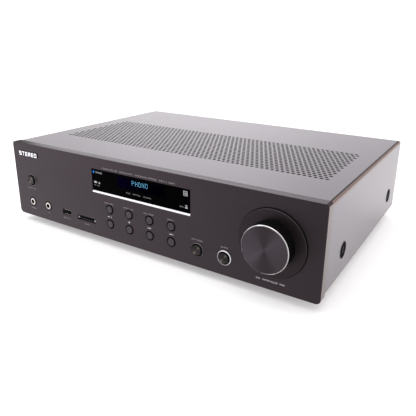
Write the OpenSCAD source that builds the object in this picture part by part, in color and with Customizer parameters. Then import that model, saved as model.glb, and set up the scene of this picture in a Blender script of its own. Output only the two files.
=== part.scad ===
// Full-width stereo receiver.
// Origin: on the floor, in the middle of the receiver's width and depth.
// +X is the viewer's right, +Y points to the back, +Z is up, and the front panel faces -Y.
// Places on the front panel are [from its left end, up from its lower edge].

/* [Case] */
// Width of the front panel
panel_w = 430; // [420:1:440]
// Height of the front panel
panel_h = 100; // [96:1:110]
// Front face of the panel to the rear edge of the cover
case_depth = 297; // [290:1:330]
// Floor to the lower edge of the front panel
foot_gap = 10; // [8:0.5:14]
// Thickness of the cover's steel
sheet = 1; // [0.8:0.1:1.2]
// Outer radius of the bends along the cover
bend_r = 3.75; // [2.5:0.25:4]

/* [Front panel] */
// Thickness of the panel's front wall
panel_wall = 3.5; // [3:0.25:3.5]
// Depth of the panel's edges, front to back
panel_lip = 10.5; // [9:0.25:10.5]
// Radius of the panel's lower corners
low_corner_r = 5.5; // [4:0.5:6]

/* [Volume control] */
// Place of the volume knob
volume_at = [378, 50];
// Radius of the raised disc behind the knob
disc_r = 35.5; // [30:0.5:36]
// Thickness of the raised disc
disc_h = 2.2; // [1:0.1:2.4]
// Radius of the knob at its bright ring
knob_r = 24.5; // [22:0.1:25]
// Height of the knob's face above the panel
knob_h = 17.5; // [17:0.25:19]

/* [Small controls] */
// Place of the standby button
standby_at = [30.5, 51];
// Place of the tone knob
tone_at = [292.5, 20];
// Place of the source knob
source_at = [325.8, 20];
// Place of the first button of the lower row
first_button_at = [168.5, 20.5];
// Distance between the buttons of a row
button_pitch = 30; // [26:0.5:30]
// Distance between the two rows of buttons
row_pitch = 18.5; // [16:0.5:18.5]
// Radius of a small button
button_r = 4.35; // [4:0.05:4.6]
// How far a small button stands out
button_proud = 1.1; // [0.9:0.1:1.5]

/* [Front sockets] */
// Place of the first 3.5 mm socket
jack_at = [28.5, 20.5];
// Distance between the two 3.5 mm sockets
jack_pitch = 30; // [24:0.5:30]
// Place of the USB socket
usb_at = [93.5, 19];
// Place of the card slot
card_at = [128.2, 17.6];

/* [Display] */
// Lower left corner of the window's opening
window_at = [142.7, 56.5];
// Size of the window's opening
window_size = [141.4, 29.4];
// Height of the glass, which fills the top of the opening
glass_h = 23.3; // [22:0.1:23.3]

/* [Vents] */
// Distance between vent holes along a row
vent_pitch_x = 6.12; // [6:0.02:6.2]
// Distance between rows of vent holes
vent_pitch_y = 6.1; // [6:0.1:6.4]
// Diameter of a vent hole
vent_d = 3.8; // [2.5:0.1:4]
// Vent holes in the longer rows
vent_cols = 62; // [20:1:62]
// Rows of vent holes, long and short in turn
vent_rows = 20; // [5:1:20]
// First vent hole, from the left end of the front panel
vent_x = 29.6; // [28:0.1:32]
// First row of vent holes, back from the panel's front face
vent_y = 72; // [60:0.1:80]

/* [Hidden] */
$fn = 64;

// How far the speaker terminals reach behind the front face of the panel
rear_reach = 316;
// Middle of the receiver's depth, which lies over the origin
mid_y = (rear_reach - knob_h) / 2;
// Gap between parts that pass each other
gap = 0.3;
// A cut reaches this far past the face it starts from
past = 1;

// Cover and chassis
cover_front = 11.2;
cover_half = panel_w / 2 - 0.3;
cover_top = foot_gap + panel_h - 0.7;
cover_low = foot_gap + 6.7;
tray_half = cover_half - 3.4;
tray_low = foot_gap + 5;
tray_floor = tray_low + 1.2;
tray_front = 6;
tray_back = case_depth - 3;
tray_wall = 1.2;
rear_y = case_depth - 2.8;
rear_t = 1.2;
rear_face = rear_y + rear_t;
side_screw_at = [[59, foot_gap + 33], [257, foot_gap + 32]];
dimple_r = 9;
dimple_depth = 2.2;
foot_at = [[-165, 58], [165, 58], [-165, 252], [165, 252]];
foot_r = 22;

// Front boards, with the switches and control bodies in front of them
board_y = 16;
board_t = 1.6;
switch_top = 11.7;
knob_shaft_r = 3;
shaft_play = 0.05;
small_knob_r = 6.1;
bezel_r = 7.9;
bezel_hole_r = 8.2;
source_ring_r = 8.25;
collar_back = 4.5;
standby_r = 5.8;
button_hole_r = 5.4;
jack_hole_r = 5.5;
jack_bush_r = 4.3;
jack_bore_r = 1.8;
jack_mouth_r = 2.45;

// Rear panel fittings
phono_at = [112, foot_gap + 26];
phono_pitch = [22, 24];
phono_cols = 4;
terminal_at = [-76, foot_gap + 30];
terminal_pitch = [24, 26];
stud_r = 3;
banana_r = 2.05;
aerial_at = [60, foot_gap + 72];
inlet_at = [-168, foot_gap + 32];
rocker_at = [-132, foot_gap + 32];
rear_screw_at = [[-200, 36], [200, 36], [-200, 96], [200, 96], [-20, 24], [90, 24]];

// Bench height of the circuit boards
bench_z = tray_floor + 8;

// Moves a part from the panel's frame (y = 0 at the front face) to the model's frame.
module placed() {
  translate([0, -mid_y, 0]) children();
}

// A point on the panel: local +Z points at the viewer, and local 0 is the panel's front face.
module on_panel(at) {
  placed() translate([at[0] - panel_w / 2, 0, at[1] + foot_gap]) rotate([90, 0, 0]) children();
}

// A point [x, z] on the rear panel's outer face: local +Z points backwards.
module on_rear(at) {
  placed() translate([at[0], rear_face, at[1]]) rotate([-90, 0, 0]) children();
}

// Rectangle centred on x = 0, y = 0.
module plate(size, thick) {
  linear_extrude(thick) square(size, center = true);
}

// Tube or ring, from z = 0 up.
module ring(outer, inner, height) {
  linear_extrude(height) difference() {
    circle(r = outer);
    circle(r = inner);
  }
}

// Turned round part from a profile of [radius, height] points.
module turned(profile) {
  rotate_extrude() polygon(profile);
}

// Outline of the front panel, shrunk on every side by inset.
module panel_outline(inset) {
  w = panel_w - 2 * inset;
  h = panel_h - 2 * inset;
  top_r = bend_r - min(inset, bend_r - 0.5);
  low_r = low_corner_r - inset;
  translate([inset, inset]) {
    translate([low_r, 0]) square([w - 2 * low_r, low_r]);
    translate([0, low_r]) square([w, h - low_r - top_r]);
    translate([top_r, h - top_r]) square([w - 2 * top_r, top_r]);
    for (x = [low_r, w - low_r]) translate([x, low_r]) circle(r = low_r);
    for (x = [top_r, w - top_r]) translate([x, h - top_r]) circle(r = top_r);
  }
}

function button_at(col, row) = first_button_at + [button_pitch * col, row_pitch * row];
function jack_place(i) = jack_at + [jack_pitch * i, 0];
function terminal_place(i) =
  terminal_at + [terminal_pitch[0] * (i % 2), terminal_pitch[1] * floor(i / 2)];

// ---- Front panel and what is fixed to it ----

// Holes through the front wall, drawn flat; grow widens them for the frame behind.
module panel_holes(grow) {
  translate(window_at - [grow, grow]) square(window_size + 2 * [grow, grow]);
  for (i = [0, 1]) translate(jack_place(i)) circle(r = jack_hole_r + grow);
  translate(usb_at) square([15 + grow, 7.6 + grow], center = true);
  translate(card_at) square([31 + grow, 6 + grow], center = true);
  for (col = [0:3], row = [0, 1]) translate(button_at(col, row)) circle(r = button_hole_r + grow);
  for (at = [standby_at, tone_at]) translate(at) circle(r = bezel_hole_r + grow);
  translate(source_at) circle(r = source_ring_r + 0.1 + grow);
  translate(volume_at) circle(r = 4.8 + grow);
}

module front_panel() {
  color("#3d383b") on_panel([0, 0]) {
    translate([0, 0, -panel_wall]) linear_extrude(panel_wall) difference() {
      panel_outline(0);
      panel_holes(0);
    }
    translate([0, 0, -panel_lip]) linear_extrude(panel_lip) difference() {
      panel_outline(0);
      panel_outline(2.5);
    }
  }
}

module front_subframe() {
  color("#1c1c1e") on_panel([0, 0]) translate([0, 0, -5.7]) linear_extrude(2) difference() {
    translate([4, 4]) square([panel_w - 8, panel_h - 8]);
    panel_holes(1.2);
    for (i = [0, 1]) translate(jack_place(i)) square([13, 14], center = true);
  }
}

// One stroke of a block letter in a cell of badge_cell, named by where it lies.
badge_cell = [4.6, 5.4];
badge_stroke = 1.15;
badge_word = [
  ["top", "middle", "bottom", "upper_left", "lower_right"],
  ["top", "post"],
  ["top", "middle", "bottom", "upper_left", "lower_left"],
  ["top", "middle", "upper_left", "lower_left", "upper_right", "leg"],
  ["top", "middle", "bottom", "upper_left", "lower_left"],
  ["top", "bottom", "upper_left", "lower_left", "upper_right", "lower_right"]
];
module badge_mark(name) {
  w = badge_cell[0];
  h = badge_cell[1];
  s = badge_stroke;
  half = (h + s) / 2;
  if (name == "top") translate([0, h - s]) square([w, s]);
  if (name == "middle") translate([0, (h - s) / 2]) square([w, s]);
  if (name == "bottom") square([w, s]);
  if (name == "post") translate([(w - s) / 2, 0]) square([s, h]);
  if (name == "upper_left") translate([0, h - half]) square([s, half]);
  if (name == "lower_left") square([s, half]);
  if (name == "upper_right") translate([w - s, h - half]) square([s, half]);
  if (name == "lower_right") translate([w - s, 0]) square([s, half]);
  if (name == "leg")
    polygon([[w - s * 1.1, 0], [w, 0], [w / 2 + s, half - s / 2], [w / 2 - 0.2, half - s / 2]]);
}
module badge() {
  letter_step = badge_cell[0] + 1.25;
  color("silver") on_panel([12.2, 83.3]) linear_extrude(0.9)
    for (i = [0:len(badge_word) - 1]) translate([letter_step * i, 0])
      union() for (name = badge_word[i]) badge_mark(name);
}

// Strip along the window's opening, from a [towards the back, up from the opening] outline.
module window_strip(outline) {
  placed() translate([window_at[0] + gap - panel_w / 2, 0, window_at[1] + foot_gap])
    rotate([90, 0, 90]) linear_extrude(window_size[0] - 2 * gap) polygon(outline);
}
// Glass with a bevel and a step along its lower edge, above the bar.
glass_back = 3.4;
module display_window() {
  top = window_size[1] - gap;
  low = top - glass_h;
  step = 2.6;
  color("#08080a") window_strip([
    [glass_back, step], [2.2, step], [2.2, low - 1], [1.2, low], [1.2, top], [glass_back, top]
  ]);
}
// Bar with a bevel that faces up and forward, and a lug behind the panel's wall.
module trim_bar() {
  lug_back = panel_wall + 0.9;
  color("white") window_strip([
    [lug_back, -1], [panel_wall, -1], [panel_wall, gap], [-0.4, gap], [-0.4, 0.8], [0.6, 2.3],
    [lug_back, 2.3]
  ]);
}

module display_module() {
  centre = window_at + [window_size[0] / 2, window_size[1] - glass_h / 2 - gap];
  color("#20242a") on_panel(centre) {
    translate([0, 0, -12]) plate([118, 21], 12 - glass_back);
    translate([0, 0, -13.6]) plate([134, 27], board_t);
  }
}

// ---- Volume control ----

module volume_disc() {
  edge = 0.5;
  color("#3a3638") on_panel(volume_at)
    turned([[12, 0], [disc_r, 0], [disc_r, disc_h - edge], [disc_r - edge, disc_h], [12, disc_h]]);
}

knob_front = knob_h - 1.2;
ring_inner = knob_r - 1;
module volume_knob() {
  grip_r = knob_r - 0.25;
  grips = 110;
  color("#121214") on_panel(volume_at) {
    translate([0, 0, disc_h + 0.7]) linear_extrude(knob_front - disc_h - 0.7) difference() {
      circle(r = grip_r);
      circle(r = 21.5);
      for (i = [0:grips - 1]) rotate(360 * i / grips) translate([grip_r + 0.12, 0])
        rotate(45) square(0.62, center = true);
    }
    turned([
      [0, knob_front], [21.6, knob_front], [21.6, knob_front - 2.5], [6, knob_front - 2.5], [6, 5],
      [knob_shaft_r + shaft_play, 5], [knob_shaft_r + shaft_play, knob_front - 2.4],
      [0, knob_front - 2.4]
    ]);
  }
}

module volume_knob_ring() {
  bevel = 0.85;
  color("silver") on_panel(volume_at) turned([
    [ring_inner, knob_front], [knob_r, knob_front], [knob_r, knob_h - bevel],
    [knob_r - bevel, knob_h], [ring_inner, knob_h]
  ]);
}

module volume_knob_cap() {
  color("#4a4446") on_panel(volume_at)
    translate([0, 0, knob_front]) cylinder(h = knob_h - 0.1 - knob_front, r = ring_inner - 0.05);
}

module volume_shaft() {
  color("silver") on_panel(volume_at) translate([0, 0, -14])
    cylinder(h = 14 + knob_front - 2.5, r = knob_shaft_r);
}

// Encoders and potentiometer: a box body, a bush in front of it and a bore for the shaft.
module control_body(size, bush_front) {
  difference() {
    union() {
      translate([0, 0, -board_y]) plate([size, size], board_y - 8);
      translate([0, 0, -8]) cylinder(h = 8 + bush_front, r = 4.4);
    }
    translate([0, 0, -15]) cylinder(h = 15 + bush_front + past, r = knob_shaft_r + shaft_play);
  }
}
module rotary_controls() {
  color("#8a8d90") {
    on_panel(volume_at) {
      control_body(16, 4);
      ring(6.4, 4.45, 2);
    }
    on_panel(tone_at) control_body(13, -2.6);
    on_panel(source_at) control_body(13, -2.6);
  }
}

// ---- Small controls ----

// Outline points of a round control's face: a bevelled edge, a rim and a shallow dish.
function dished_face(r, proud, edge, rim, dish) = [
  [r, proud - edge], [r - edge, proud], [r - edge - rim, proud],
  [r - edge - rim - dish, proud - dish], [0, proud - dish]
];

// A small turned knob with its shaft, standing proud of the panel.
module small_knob(proud) {
  turned(concat(
    [[0, -14], [knob_shaft_r, -14], [knob_shaft_r, -2], [small_knob_r, -2]],
    dished_face(small_knob_r, proud, 0.6, 0.8, 0.6)
  ));
}
module tone_knob() {
  color("#2c292b") on_panel(tone_at) small_knob(1.8);
}
module source_knob() {
  color("#2c292b") on_panel(source_at) small_knob(2.1);
}
module source_knob_ring() {
  r = source_ring_r;
  color("silver") on_panel(source_at)
    turned([
      [7.2, -collar_back], [r + 1, -collar_back], [r + 1, -panel_wall], [r, -panel_wall],
      [r, 0.1], [r - 0.7, 0.8], [r - 0.8, 0.8], [7.2, 0.5]
    ]);
}

// Dished rings let into the panel, each with a thin raised lip and a collar behind the wall.
module control_bezels() {
  inner = small_knob_r + 0.4;
  r = bezel_r;
  color("#3a3638") for (at = [standby_at, tone_at]) on_panel(at)
    turned([
      [inner, -3], [r - 0.3, -3], [r - 0.3, -collar_back], [r + 1.1, -collar_back],
      [r + 1.1, -panel_wall], [r, -panel_wall], [r, 0.1], [r - 0.25, 0.35], [r - 0.55, 0.35],
      [r - 0.8, 0], [inner, -1.3]
    ]);
}

// Push button with a flange behind the panel and a stem that reaches its switch.
module push_button(r, proud, flange_r, flange_back, stem_end, dish) {
  turned(concat(
    [
      [0, -stem_end], [1.5, -stem_end], [1.5, -flange_back - 1], [flange_r, -flange_back - 1],
      [flange_r, -flange_back], [r, -flange_back]
    ],
    dished_face(r, proud, 0.45, 0.7, dish)
  ));
}
module standby_button() {
  color("#2a2729") on_panel(standby_at) push_button(standby_r, 2.1, 7.2, 3.3, 10.4, 0.6);
}
module small_button(col, row) {
  color("#363235") on_panel(button_at(col, row))
    push_button(button_r, button_proud, 6, 3.6, 10.6, 0.2);
}
module upper_button_1() { small_button(0, 1); }
module upper_button_2() { small_button(1, 1); }
module upper_button_3() { small_button(2, 1); }
module upper_button_4() { small_button(3, 1); }
module lower_button_1() { small_button(0, 0); }
module lower_button_2() { small_button(1, 0); }
module lower_button_3() { small_button(2, 0); }
module lower_button_4() { small_button(3, 0); }

// ---- Front sockets ----

jack_back = 3.8;
module jack_bushes() {
  r = jack_bush_r;
  color("silver") for (i = [0, 1]) on_panel(jack_place(i)) turned([
    [jack_bore_r, -jack_back], [r, -jack_back], [r, 0.4], [r - 0.4, 0.8],
    [jack_mouth_r, 0.8], [jack_bore_r, -0.4]
  ]);
}
// Socket bodies, each with a dark collar around its bush.
module jack_bodies() {
  color("#151515") for (i = [0, 1]) on_panel(jack_place(i)) {
    translate([0, 0, -jack_back - 0.5]) ring(jack_hole_r - 0.1, jack_bush_r + 0.05, jack_back - 0.1);
    difference() {
      translate([0, 0, -board_y + 0.1]) plate([10, 11], board_y - jack_back - 0.2);
      translate([0, 0, -14.5]) cylinder(h = 14.5, r = jack_bore_r + 0.8);
    }
  }
}

usb_outer = [13.5, 6.3];
usb_wall = 0.4;
module usb_shell() {
  color("silver") on_panel(usb_at) translate([0, 0, -15.8]) difference() {
    plate(usb_outer, 14.3);
    translate([0, 0, 0.8]) plate(usb_outer - 2 * [usb_wall, usb_wall], 15);
  }
}
module usb_tongue() {
  color("#202020") on_panel(usb_at) translate([0, 1.1, -14.9]) plate([11, 1.9], 13);
}

card_outer = [30, 4.6];
card_slot_size = [25.2, 3.4];
// Card slot with a guide at each end of its mouth.
module card_slot() {
  depth = 30;
  mouth = 2.6;
  color("silver") on_panel(card_at) translate([0, 0, -depth]) {
    difference() {
      plate(card_outer, depth - mouth);
      translate([0, 0, 1]) plate(card_slot_size, depth);
    }
    for (side = [-1, 1])
      translate([side * (card_outer[0] + card_slot_size[0]) / 4, 0, depth - mouth])
        plate([2, 2.4], mouth - 0.7);
  }
}

// ---- Front boards ----

module front_boards() {
  color("#1f4a2c") {
    on_panel([43, 42]) translate([0, 0, -board_y - board_t]) plate([60, 68], board_t);
    on_panel([284, 35]) translate([0, 0, -board_y - board_t]) plate([264, 52], board_t);
    placed() translate([usb_at[0] + 14 - panel_w / 2, 27, foot_gap + 13.6])
      plate([66, 42], board_t);
  }
}
module push_switch() {
  translate([0, 0, -board_y]) plate([6, 6], board_y - 12.4);
  translate([0, 0, -12.4]) cylinder(h = 12.4 - switch_top, r = 1.75);
}
module push_switches() {
  color("#303030") {
    on_panel(standby_at) push_switch();
    for (col = [0:3], row = [0, 1]) on_panel(button_at(col, row)) push_switch();
  }
}

// ---- Case ----

// One side of the cover, drawn flat as [x, z]: a wall, its bend and the end of the top.
module cover_side_profile() {
  corner = [cover_half - bend_r, cover_top - bend_r];
  translate([cover_half - sheet, cover_low]) square([sheet, corner[1] - cover_low]);
  intersection() {
    translate(corner) square(bend_r);
    translate(corner) difference() {
      circle(r = bend_r);
      circle(r = bend_r - sheet);
    }
  }
}

// Dished seat for a side screw, turned about its own axis: 0 is the cover's outer face.
module dimple() {
  floor_r = dimple_r - 2.4;
  turned([
    [dimple_r + 0.2, 0], [dimple_r, 0], [floor_r, -dimple_depth], [2.3, -dimple_depth],
    [2.3, -dimple_depth - sheet], [floor_r + 0.5, -dimple_depth - sheet],
    [dimple_r + 0.2, -sheet]
  ]);
}

module at_side_screws() {
  placed() for (side = [-1, 1], at = side_screw_at)
    translate([side * cover_half, at[0], at[1]]) rotate([0, side * 90, 0]) children();
}

module top_cover() {
  length = case_depth - cover_front;
  top_half = cover_half - bend_r;
  color("#a9a4a8") {
    placed() translate([-top_half, cover_front, cover_top - sheet]) linear_extrude(sheet)
      difference() {
        square([2 * top_half, length]);
        for (row = [0:vent_rows - 1], col = [0:vent_cols - 1 - row % 2])
          translate([
            vent_x + vent_pitch_x * (col + (row % 2) / 2) - panel_w / 2 + top_half,
            vent_y + vent_pitch_y * row - cover_front
          ]) circle(d = vent_d);
      }
    difference() {
      for (side = [0, 1]) mirror([side, 0, 0]) placed()
        translate([0, case_depth, 0]) rotate([90, 0, 0]) linear_extrude(length)
          cover_side_profile();
      at_side_screws() translate([0, 0, -2 * sheet]) cylinder(h = 4 * sheet, r = dimple_r);
    }
    at_side_screws() dimple();
  }
}

module chassis_tray() {
  span = tray_back - tray_front;
  side_h = 39;
  color("#9a9c9e") {
    placed() translate([0, tray_front, tray_low]) linear_extrude(tray_wall) difference() {
      translate([-tray_half, 0]) square([2 * tray_half, span]);
      for (at = foot_at) translate([at[0], at[1] - tray_front]) circle(r = 2.2);
      for (col = [0:9], row = [0:3])
        translate([-112 + 24 * col, 100 + 22 * row]) square([14, 3.5]);
    }
    difference() {
      placed() for (side = [-1, 1])
        translate([side * (tray_half - tray_wall / 2), cover_front, tray_low]) rotate([90, 0, 180])
          translate([-tray_wall / 2, 0, 0]) cube([tray_wall, side_h, tray_back - cover_front]);
      at_side_screws() translate([0, 0, -8]) cylinder(h = 8, r = 2.1);
    }
    placed() translate([-tray_half, tray_front, tray_low]) cube([2 * tray_half, tray_wall, 7]);
    placed() translate([0, tray_back, tray_low]) rotate([90, 0, 0]) linear_extrude(tray_wall)
      difference() {
        translate([-tray_half, 0]) square([2 * tray_half, 12]);
        for (at = rear_screw_at) translate([at[0], at[1] - tray_low]) circle(r = 1.7);
      }
  }
}

module rear_panel() {
  half = cover_half - sheet - 0.4;
  low = tray_low + 2;
  high = cover_top - sheet - 0.4;
  corner = bend_r - sheet;
  color("#2a2a2c") placed() translate([0, rear_face, 0]) rotate([90, 0, 0])
    linear_extrude(rear_t) difference() {
      polygon([
        [-half, low], [half, low], [half, high - corner], [half - corner, high],
        [corner - half, high], [-half, high - corner]
      ]);
      for (col = [0:phono_cols - 1], row = [0, 1])
        translate(phono_at + [phono_pitch[0] * col, phono_pitch[1] * row]) circle(r = 5.2);
      for (i = [0:3]) translate(terminal_place(i)) circle(r = 5);
      translate(aerial_at) circle(r = 5);
      translate((inlet_at + rocker_at) / 2) square([66, 21], center = true);
      for (i = [0:11]) translate([-60 + 7 * i, foot_gap + 78]) square([3, 14]);
      for (at = rear_screw_at) translate(at) circle(r = 1.7);
    }
}

// Pan-head screw with its captive washer: 0 is the face that it clamps, the head is above.
module machine_screw(head_r, head_h, shank_r, shank_l, washer_r) {
  difference() {
    union() {
      cylinder(h = 0.6, r = washer_r);
      turned([
        [0, 0], [head_r, 0], [head_r, head_h * 0.5], [head_r * 0.8, head_h], [0, head_h]
      ]);
    }
    for (turn = [0, 90]) rotate(turn) translate([0, 0, head_h]) cube([head_r, 0.9, 1.6], center = true);
  }
  translate([0, 0, -shank_l]) cylinder(h = shank_l, r = shank_r);
}
// Side screws, each in a cup washer that lines its seat.
module side_screws() {
  cup = 0.35;
  low = 0.25 - dimple_depth;
  color("#141414") at_side_screws() {
    translate([0, 0, low]) machine_screw(4.3, 2, 1.95, 8, 5);
    turned([
      [2.1, low - 0.2], [dimple_r - 2.5, low - 0.2], [dimple_r, 0.05], [dimple_r + 0.2, 0.05],
      [dimple_r + 0.2, 0.28], [dimple_r - 0.2, 0.28], [dimple_r - 2.6, low - 0.2 + cup],
      [2.1, low - 0.2 + cup]
    ]);
  }
}
module case_screws() {
  color("#1a1a1a") {
    for (at = rear_screw_at) on_rear(at) machine_screw(3, 2, 1.55, 7, 3.2);
    placed() for (at = foot_at) translate([at[0], at[1], 9.5]) mirror([0, 0, 1])
      machine_screw(3.6, 2.4, 1.95, 9, 3.8);
  }
}

module feet() {
  top = tray_low;
  color("#101010") placed() for (at = foot_at) translate([at[0], at[1], 0]) turned([
    [4.6, 0], [foot_r - 3, 0], [foot_r - 2.2, 0.8], [foot_r - 2.2, 2.5], [foot_r, 2.5],
    [foot_r - 0.8, top], [2.1, top], [2.1, 9.5], [4.6, 9.5]
  ]);
}

// ---- Power supply and amplifier ----

trafo_at = [-150, 148];
trafo_size = [78, 46, 66];
core_leg = 13;
module transformer_core() {
  leg = core_leg;
  window = [13, trafo_size[2] - 2 * leg];
  color("#55585c") placed() translate([trafo_at[0], trafo_at[1] + trafo_size[1] / 2, tray_floor]) {
    rotate([90, 0, 0]) linear_extrude(trafo_size[1]) difference() {
      translate([-trafo_size[0] / 2, 0]) square([trafo_size[0], trafo_size[2]]);
      for (x = [-leg - window[0], leg]) translate([x, leg]) square(window);
    }
    for (side = [-1, 1]) translate([side * (trafo_size[0] / 2 + 6), -trafo_size[1] / 2, 0])
      linear_extrude(2) difference() {
        square([12, 30], center = true);
        circle(r = 2.2);
      }
  }
}
module transformer_coils() {
  leg = core_leg;
  wound = [2 * (leg + 12.4), trafo_size[1] + 24];
  color("#b8862c") placed() translate([trafo_at[0], trafo_at[1], tray_floor + leg + 0.3])
    linear_extrude(trafo_size[2] - 2 * leg - 0.6) difference() {
      square(wound, center = true);
      square([2 * leg + 0.4, trafo_size[1] + 0.4], center = true);
    }
}

sink_at = [48, 214];
sink_l = 190;
module heatsink() {
  fins = 24;
  color("#27282a") placed() translate([sink_at[0], sink_at[1], bench_z + board_t]) linear_extrude(58) {
    translate([-sink_l / 2, -2]) square([sink_l, 4]);
    for (i = [0:fins - 1])
      translate([-sink_l / 2 + i * (sink_l - 1.6) / (fins - 1), 0]) square([1.6, 26]);
  }
}
module output_transistors() {
  leg_l = 10;
  color("#1b1b1b") placed() for (i = [0:3])
    translate([sink_at[0] - 66 + 44 * i, sink_at[1] - 4.5, bench_z + board_t + leg_l]) {
      translate([-8, -2.5, 0]) cube([16, 5, 20]);
      for (x = [-5.4, 0, 5.4]) translate([x - 0.6, -1.2, -leg_l]) cube([1.2, 0.8, leg_l]);
    }
}

amp_board_size = [210, 156];
amp_board_at = [44, 158];
module amplifier_board() {
  color("#3d5c2e") placed() translate([amp_board_at[0], amp_board_at[1], bench_z])
    plate(amp_board_size, board_t);
}
module filter_capacitors() {
  color("#1d2d57") placed() for (i = [0:3])
    translate([-38 + 34 * (i % 2), 100 + 34 * floor(i / 2), bench_z + board_t])
      turned([
        [0, 0], [12.5, 0], [12.5, 3], [12.1, 3.6], [12.5, 4.2], [12.5, 37.5], [12, 38],
        [0, 38]
      ]);
}

input_board_size = [140, 46];
input_board_at = [136, 264];
module input_board() {
  color("#1f4a2c") placed() translate([input_board_at[0], input_board_at[1], bench_z])
    plate(input_board_size, board_t);
}
module tuner_can() {
  color("silver") placed() translate([88, 266, bench_z + board_t]) plate([36, 28], 13);
}
module corner_standoffs(at, size) {
  for (x = [-1, 1], y = [-1, 1])
    translate([at[0] + x * (size[0] / 2 - 6), at[1] + y * (size[1] / 2 - 6), tray_floor])
      cylinder(h = bench_z - tray_floor, r = 3);
}
module standoffs() {
  color("silver") placed() {
    corner_standoffs(amp_board_at, amp_board_size);
    corner_standoffs(input_board_at, input_board_size);
  }
}

// Flat cable with its plugs, from the front boards to the input board.
module ribbon_cable() {
  width = 24;
  thick = 0.9;
  r = 8;
  side_x = 168;
  start = board_y + board_t;
  run_z = 92;
  plug_z = bench_z + board_t + 1 + r;
  far = 204;
  color("#c9c9c4") placed() {
    translate([side_x - 2, start, 34]) cube([width + 4, 5, 8]);
    translate([side_x - 2, far + 45, bench_z + board_t]) cube([width + 4, 8, 5]);
    translate([side_x, 0, 0]) rotate([90, 0, 90]) linear_extrude(width) {
      translate([start, 40]) square([thick, run_z - r - 40]);
      translate([start + r, run_z - r]) quarter_band(r, thick, 90);
      translate([start + r, run_z - thick]) square([far - r - start - r, thick]);
      translate([far - r, run_z - r]) quarter_band(r, thick, 0);
      translate([far - thick, plug_z]) square([thick, run_z - r - plug_z]);
      translate([far + r - thick, plug_z]) quarter_band(r, thick, 180);
      translate([far + r - thick, plug_z - r]) square([40, thick]);
    }
  }
}
// Quarter of a flat ring of outer radius r; turn places it.
module quarter_band(r, thick, turn) {
  intersection() {
    difference() {
      circle(r = r);
      circle(r = r - thick);
    }
    rotate(turn) square(r + past);
  }
}

// ---- Rear fittings ----

module at_phono() {
  for (col = [0:phono_cols - 1], row = [0, 1])
    on_rear(phono_at + [phono_pitch[0] * col, phono_pitch[1] * row]) children();
}
module phono_block() {
  centre = phono_at + [phono_pitch[0] * (phono_cols - 1) / 2, phono_pitch[1] / 2];
  color("#141414") {
    on_rear(centre) translate([0, 0, -rear_t - 12]) plate([86, 40], 12);
    at_phono() translate([0, 0, -rear_t]) cylinder(h = rear_t + 1.5, r = 5);
  }
}
module phono_sleeves() {
  color("silver") at_phono() translate([0, 0, 1.5]) ring(4.15, 3.6, 8);
}
module phono_inserts() {
  color("#e8e4dc") at_phono() translate([0, 0, 1.5]) ring(3.6, 1.65, 6.5);
}

module terminal_plate() {
  centre = terminal_at + terminal_pitch / 2;
  color("#161616") on_rear(centre) difference() {
    plate([terminal_pitch[0] + 26, terminal_pitch[1] + 22], 3);
    for (i = [0:3]) translate(mirror_y(terminal_place(i) - centre)) translate([0, 0, -past])
      cylinder(h = 6, r = stud_r + 0.1);
  }
}
// on_rear turns the panel's upward direction to local -Y.
function mirror_y(p) = [p[0], -p[1]];

cap_back = rear_reach - rear_face;
module terminal_studs() {
  color("#c8a85a") for (i = [0:3]) on_rear(terminal_place(i)) turned([
    [0, -14], [stud_r, -14], [stud_r, cap_back - 0.5], [banana_r, cap_back - 0.5],
    [banana_r, cap_back - 16], [0, cap_back - 16]
  ]);
}
module terminal_cap(i) {
  grips = 20;
  bore = stud_r + shaft_play;
  tint = i % 2 == 0 ? "#1a1a1a" : "#a01818";
  color(tint) on_rear(terminal_place(i)) {
    translate([0, 0, 3.3]) ring(6, bore, 3);
    translate([0, 0, 6]) linear_extrude(cap_back - 6) difference() {
      circle(r = 7.5);
      circle(r = bore);
      for (n = [0:grips - 1]) rotate(360 * n / grips) translate([7.8, 0]) circle(r = 0.7);
    }
  }
}
module terminal_cap_1() { terminal_cap(0); }
module terminal_cap_2() { terminal_cap(1); }
module terminal_cap_3() { terminal_cap(2); }
module terminal_cap_4() { terminal_cap(3); }

module aerial_socket() {
  color("#c9c9c9") on_rear(aerial_at) {
    cylinder(h = 2.5, r = 7, $fn = 6);
    translate([0, 0, -8]) cylinder(h = 8, r = 4.7);
    translate([0, 0, 2.5]) ring(4.7, 3.6, 9.5);
    translate([0, 0, 2.5]) ring(3.6, 0.6, 7);
  }
}

// Mains inlet and the frame of the power rocker in one moulding.
inlet_cavity = [24.5, 16.5];
rocker_hole = [22, 13];
module mains_inlet() {
  middle = (inlet_at + rocker_at) / 2;
  left = mirror_y(inlet_at - middle);
  right = mirror_y(rocker_at - middle);
  color("#121212") on_rear(middle) {
    difference() {
      union() {
        plate([74, 28], 2);
        translate([0, 0, -18]) plate([65, 20], 18);
      }
      translate([left[0], left[1], -15]) plate(inlet_cavity, 15 + 2 + past);
      translate([right[0], right[1], -15]) plate(rocker_hole, 15 + 2 + past);
    }
    for (pin = [[-7, -2], [0, 2], [7, -2]])
      translate([left[0] + pin[0], left[1] + pin[1], -16]) plate([2, 4], 12);
  }
}

// Rocker on an upright pivot; at rest it is tipped to one side.
rocker_pivot = -5;
rocker_tilt = -7;
rocker_height = 10.4;
module power_rocker() {
  color("#202020") on_rear(rocker_at) translate([0, 0, rocker_pivot]) rotate([90, 0, 0])
    rotate(rocker_tilt) translate([0, 0, -rocker_height / 2]) linear_extrude(rocker_height)
      polygon([[-9.2, -2], [9.2, -2], [9.6, 9.4], [0, 7], [-9.6, 9.4]]);
}

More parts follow.
